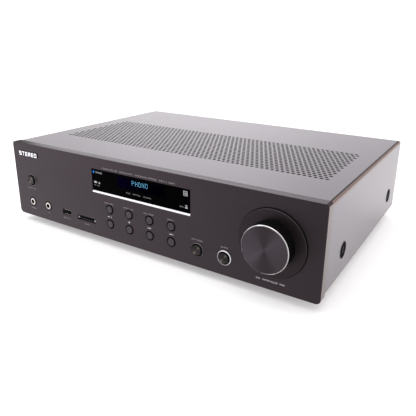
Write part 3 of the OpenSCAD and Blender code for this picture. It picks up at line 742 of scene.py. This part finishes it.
# Around each headphone socket: a plated lip, a black ring that fills the hole as painted shade, and
# a black ring of painted shade at the hole's edge. The buttons' holes have that painted shade too.
# A ring is given by its radius and its width.
DEPTH_BEHIND = 0.6
LIP, HOLE_SHADE, SOCKET_EDGE, BUTTON_EDGE = (4.6, 0.28), (5.48, 0.88), (6.4, 0.92), (6.0, 0.58)
RING_STEPS = 48


def behind_panel(u, v):
    return on_panel(u, v, -DEPTH_BEHIND)


lips, fill_shade, edges = Marks(behind_panel), Marks(behind_panel), Marks(on_panel)
for axis in BUSH_AXES:
    for marks, ring in ((lips, LIP), (fill_shade, HOLE_SHADE), (edges, SOCKET_EDGE)):
        marks.ring(*panel_uv(*axis), *ring, steps=RING_STEPS)
for button in BUTTONS:
    edges.ring(*panel_uv(*axis_of(button)), *BUTTON_EDGE, steps=RING_STEPS)
lips.finish("jack_lips", "bush", VIEWER, thick=DEPTH_BEHIND + 0.3, slot="bush_nickel")
fill_shade.finish("jack_hole_shade", "collar", VIEWER, thick=DEPTH_BEHIND + 0.1, slot="jack_body")
edges.finish("hole_edges", "collar", VIEWER, thick=0.06, slot="jack_body")

# Print on the panel: grey labels with their places and widths, and white marks
grey, white = Marks(on_panel), Marks(on_panel)
for text, u, v, width in (
    ("STANDBY / ON", 28.5, 39.6, 17),
    ("PHONES", 28.5, 11.2, 9),
    ("AUX", 58.5, 11.2, 5),
    ("USB 5V 1A", 92.5, 11.0, 12),
    ("CARD", 128.2, 10.8, 9),
    ("INPUT MODE", 167.8, 46.4, 13.5),
    ("MEMORY / INFO", 197.8, 46.4, 15),
    ("PAGE / FOLDER", 227.8, 46.4, 14),
    ("REPEAT", 257.8, 46.4, 9),
    ("BASS / TREBLE", 292.5, 31.6, 13.5),
    ("SOURCE", 325.8, 31.8, 8.5),
):
    grey.word(text, u, v, 1.5, width)
for text, u, width in (("MIN", 365, None), ("MASTER VOLUME", 378, 16), ("MAX", 391, None)):
    white.word(text, u, 9.3, 1.7, width)
for text, u, width in (
    ("STEREO RECEIVER", 160, 24),
    ("DIGITAL INPUT", 187, 20),
    ("INTEGRATED AMPLIFIER", 210, 31),
    ("FM / AM", 244, 20),
):
    grey.word(text, u, 88.6, 1.6, width, "LEFT")

# Playback signs between the two rows of buttons: play and pause, stop, and a skip each way
SIGN_V, SIGN_HALF = 29.6, 0.8
for du in (-0.9, 1.9):
    white.centred(168.5 + du, SIGN_V, 0.6, 2 * SIGN_HALF)
white.poly([(165.4, SIGN_V - SIGN_HALF), (167.0, SIGN_V), (165.4, SIGN_V + SIGN_HALF)])
white.centred(198.5, SIGN_V, 1.8, 1.8)
for centre, way in ((228.5, -1), (258.5, 1)):
    for du in (-1.0, 0.9):
        tip = centre + du + way * 0.95
        back = centre + du - way * 0.95
        white.poly([(back, SIGN_V - SIGN_HALF), (tip, SIGN_V), (back, SIGN_V + SIGN_HALF)])
    white.centred(centre + way * 2.4, SIGN_V, 0.5, 2 * SIGN_HALF)

grey.finish("panel_lettering", "print", VIEWER)
white.finish("panel_signs", "print_white", VIEWER)


# ----------------------------------------------------------------- the display


def on_glass(u, v, out):
    """A point out in front of the display window, in the panel's millimetres."""
    p = on_panel(u, v)
    return Vector((p.x, GLASS_FACE - out * MM, p.z))


def on_field(u, v):
    return on_glass(u, v, 0.012)


def on_field_front(u, v):
    return on_glass(u, v, 0.03)


GLASS_MARK = 0.01  # thickness of what lies on the window

field = Marks(on_field)
field.rect(182, 69.8, 68, 12.4)
field.finish("display_field", "unlit", VIEWER, thick=GLASS_MARK, slot="display_module")

# Dot matrix letters, five dots wide and seven high, one string of seven rows for each
GLYPHS = {
    "P": ("####.", "#...#", "#...#", "####.", "#....", "#....", "#...."),
    "H": ("#...#", "#...#", "#...#", "#####", "#...#", "#...#", "#...#"),
    "O": (".###.", "#...#", "#...#", "#...#", "#...#", "#...#", ".###."),
    "N": ("#...#", "##..#", "#.#.#", "#.#.#", "#..##", "#...#", "#...#"),
}
FIRST_DOT_U, FIRST_DOT_V = 204.2, 80.5
DOT_STEP_U, DOT_STEP_V, LETTER_STEP = 0.72, 0.82, 4.8
DOT_W, DOT_H = 0.34, 0.46
dots = Marks(on_field_front)
for i, letter in enumerate("PHONO"):
    for r, line in enumerate(GLYPHS[letter]):
        for c, cell in enumerate(line):
            if cell == "#":
                u = FIRST_DOT_U + LETTER_STEP * i + DOT_STEP_U * c
                dots.centred(u, FIRST_DOT_V - DOT_STEP_V * r, DOT_W, DOT_H)
dots.finish("display_letters", "lit", VIEWER, thick=GLASS_MARK)

labels = Marks(on_field_front)
for text, u, v, height, width in (
    ("MP3 / WMA", 144.6, 65.4, 1.2, 9.4),
    ("AUX", 194.5, 65.0, 1.5, 6.5),
    ("OPTICAL", 204.5, 65.0, 1.5, 11.5),
    ("COAXIAL", 219.5, 65.0, 1.5, 11.5),
    ("READY", 269.8, 64.6, 1.5, 5.5),
):
    labels.word(text, u, v, height, width, "LEFT")
labels.finish("window_lettering", "print_window", VIEWER, thick=GLASS_MARK)

# Signs: a plug and a wedge at the lower left, framed bars and a small dome at the right
signs = Marks(on_field_front)
signs.word("WIRELESS", 147.6, 81.5, 1.9, 10.6, "LEFT")
signs.rect(145.0, 68.0, 3.6, 2.4)
signs.rect(148.8, 68.4, 1.0, 1.6)
signs.poly([(151.8, 67.9), (154.8, 67.9), (153.3, 70.6)])
signs.frame(274.6, 77.4, 5.2, 5.4, 0.6)
for i, tall in enumerate((1.4, 2.8, 3.6, 2.2)):
    signs.centred(275.8 + 0.93 * i, 80.1, 0.5, tall)
signs.rect(276.6, 63.6, 3.2, 1.5)
signs.ring(278.2, 65.9, 1.5, 0.5, 0, 180, 10)
signs.rect(277.9, 65.1, 0.6, 2.6)
signs.finish("window_signs", "print_window_white", VIEWER, thick=GLASS_MARK)

lamp = Marks(on_field_front)
lamp.poly([(143.8, 81.6), (144.9, 79.9), (146.0, 81.6), (144.9, 83.3)])
lamp.finish("window_lamp", "lamp", VIEWER, thick=GLASS_MARK)


# ------------------------------------------------------------- rear lettering


def on_rear(x, z):
    """A point in millimetres on the rear panel's outer face, seen from behind, z from the floor."""
    return Vector((-x * MM, REAR_FACE + 0.02 * MM, z * MM))


BACK = Vector((0, 1, 0))
SPEAKERS_X, COLUMN = 64, 12
POLE_Z, POLE_BAR = 79.2, (1.9, 0.4)
FRAME_LINE = 0.35
rear = Marks(on_rear)
rear.word("SPEAKERS", SPEAKERS_X, 83.2, 2.2)
# Red caps are plus and black ones minus; a row is a channel
rear.centred(SPEAKERS_X - COLUMN, POLE_Z, *POLE_BAR)
for dz in (-0.575, 0.575):
    rear.centred(SPEAKERS_X - COLUMN, POLE_Z + dz, 0.4, 0.75)
rear.centred(SPEAKERS_X + COLUMN, POLE_Z, *POLE_BAR)
for text, at_x, at_z, height in (
    ("L", 36.5, 66, 2.2),
    ("R", 36.5, 40, 2.2),
    ("AERIAL", -60, 93, 2.6),
    ("LINE", -112, 71.5, 2.2),
    ("CD", -134, 71.5, 2.2),
    ("AUX", -156, 71.5, 2.2),
    ("REC OUT", -178, 71.5, 2.2),
    ("L", -100.5, 60, 2.4),
    ("R", -100.5, 36, 2.4),
    ("AC INPUT", 168, 60.5, 2.4),
    ("POWER", 132, 60.5, 2.4),
):
    rear.word(text, at_x, at_z, height)
rear.frame(42, 21.5, 44, 65.2, FRAME_LINE)
rear.frame(-191, 21.5, 94, 54, FRAME_LINE)
rear.finish("rear_lettering", "print_rear", BACK)


# ---------------------------------------------------------------- the studio


def paper_ground():
    """White paper. In front of the set, mirrored rays pass through it to the studio."""
    s = Shader("paper").rough(0.9).set(Specular_IOR_Level=0.1)
    _, y, _ = s.split()
    rays = s.node("ShaderNodeLightPath")
    looked_at = rays.outputs["Is Camera Ray"]
    sheet = s.tint(s.noise(3), (0.9, 0.9, 0.9), (0.92, 0.92, 0.92))
    s.colour(s.blend(looked_at, sheet, (0.76, 0.76, 0.76)))
    s.set(Emission_Color=(1, 0.975, 0.97, 1))
    s.link(s.times(looked_at, 0.32), s.bsdf.inputs["Emission Strength"])
    passing = s.times(rays.outputs["Is Glossy Ray"], s.under(y, PANEL_LOW.y - 2 * MM))
    choice = s.node("ShaderNodeMixShader")
    s.link(passing, choice.inputs[0])
    s.link(s.bsdf.outputs[0], choice.inputs[1])
    s.link(s.node("ShaderNodeBsdfTransparent").outputs[0], choice.inputs[2])
    s.link(choice.outputs[0], s.tree.nodes["Material Output"].inputs["Surface"])
    return s


FLOOR_HALF = 14
floor_mesh = bpy.data.meshes.new("floor")
bm = bmesh.new()
bmesh.ops.create_grid(bm, x_segments=1, y_segments=1, size=FLOOR_HALF)
bm.to_mesh(floor_mesh)
bm.free()
floor = bpy.data.objects.new("floor", floor_mesh)
scene.collection.objects.link(floor)
floor_mesh.materials.append(paper_ground().mat)


class Studio(Graph):
    """The room around the set, as a colour for each direction."""

    def __init__(self):
        self.world = bpy.data.worlds.new("studio")
        self.world.use_nodes = True
        super().__init__(self.world.node_tree)
        self.tree.nodes.clear()
        parts = self.node("ShaderNodeSeparateXYZ")
        self.link(self.node("ShaderNodeTexCoord").outputs["Generated"], parts.inputs[0])
        x, self.depth, self.up = (parts.outputs[i] for i in range(3))
        level = self.length(x, self.depth)
        self.side = self.over(x, self.plus(level, 0.0001))

    def past(self, value, start, end, first, second):
        """The colour first, which goes over to second as value goes from start to end."""
        made = self.node("ShaderNodeMapRange", interpolation_type="SMOOTHSTEP")
        made.inputs["From Min"].default_value = start
        made.inputs["From Max"].default_value = end
        self.link(value, made.inputs["Value"])
        return self.blend(made.outputs["Result"], first, second)

    def walls(self):
        side, up = self.side, self.up
        # In front: bright at the left, dark where the camera stands, bright again at the right
        front = self.past(side, -0.3, -0.95, (0.335, 0.325, 0.335), (1.84, 1.8, 1.88))
        front = self.past(side, 0.4, 0.7, front, (1.1, 1.1, 1.1))
        front = self.past(up, 0.14, 0.32, front, (1.15, 1.14, 1.15))
        front = self.past(up, -0.5, -0.65, front, (0.85, 0.82, 0.82))
        # Behind: white, then a dark upright, then a warm wall at the right
        back = self.past(side, -0.42, -0.2, (1.46, 1.45, 1.46), (1.13, 1.11, 1.13))
        back = self.past(side, -0.66, -0.8, back, (1.05, 1.04, 1.05))
        higher = self.past(side, -0.52, -0.3, (1.18, 1.17, 1.18), (0.9, 0.89, 0.9))
        higher = self.past(side, -0.64, -0.74, higher, (0.98, 0.97, 0.98))
        back = self.past(up, 0.14, 0.27, back, higher)
        back = self.past(side, -0.17, -0.11, back, (0.08, 0.07, 0.075))
        back = self.past(side, 0.03, 0.1, back, (0.8, 0.67, 0.66))
        back = self.past(up, 0.5, 0.62, back, (0.6, 0.6, 0.6))
        both = self.past(self.depth, -0.2, 0.2, front, back)
        return self.past(up, 0.72, 0.9, both, (2.2, 2.2, 2.2))

    def finish(self):
        """The walls light the set; the camera itself sees plain white."""
        lit = self.node("ShaderNodeBackground")
        self.link(self.walls(), lit.inputs["Color"])
        seen = self.node("ShaderNodeBackground")
        seen.inputs["Color"].default_value = (1, 1, 1, 1)
        seen.inputs["Strength"].default_value = 1.05
        either = self.node("ShaderNodeMixShader")
        rays = self.node("ShaderNodeLightPath")
        self.link(rays.outputs["Is Camera Ray"], either.inputs[0])
        self.link(lit.outputs[0], either.inputs[1])
        self.link(seen.outputs[0], either.inputs[2])
        output = self.node("ShaderNodeOutputWorld")
        self.link(either.outputs[0], output.inputs["Surface"])
        return self.world


scene.world = Studio().finish()

# A small soft light from the upper left, in metres and watts
FILL_AT, FILL_SIZE, FILL_POWER = Vector((-1.1, -0.5, 1.5)), 0.7, 3
fill_data = bpy.data.lights.new("fill", "AREA")
fill_data.shape = "RECTANGLE"
fill_data.size = fill_data.size_y = FILL_SIZE
fill_data.energy = FILL_POWER
fill = bpy.data.objects.new("fill", fill_data)
fill.location = FILL_AT
fill.rotation_euler = (-FILL_AT).to_track_quat("-Z", "Y").to_euler()
scene.collection.objects.link(fill)

# The camera, as fitted to the panel's corners and the cover's edges
CAMERA_AT = (0.3280, -0.5258, 0.2533)
CAMERA_TURN = (71.351, -0.543, 32.262)
camera_data = bpy.data.cameras.new("camera")
camera_data.lens = 40.73
camera_data.sensor_width = 36
camera_data.shift_x = -0.0029
camera_data.shift_y = -0.0506
camera_data.clip_start = 0.01
camera_data.clip_end = 100
camera = bpy.data.objects.new("camera", camera_data)
camera.location = CAMERA_AT
camera.rotation_euler = Euler([math.radians(a) for a in CAMERA_TURN], "XYZ")
scene.collection.objects.link(camera)
scene.camera = camera
scene.view_settings.view_transform = "Standard"
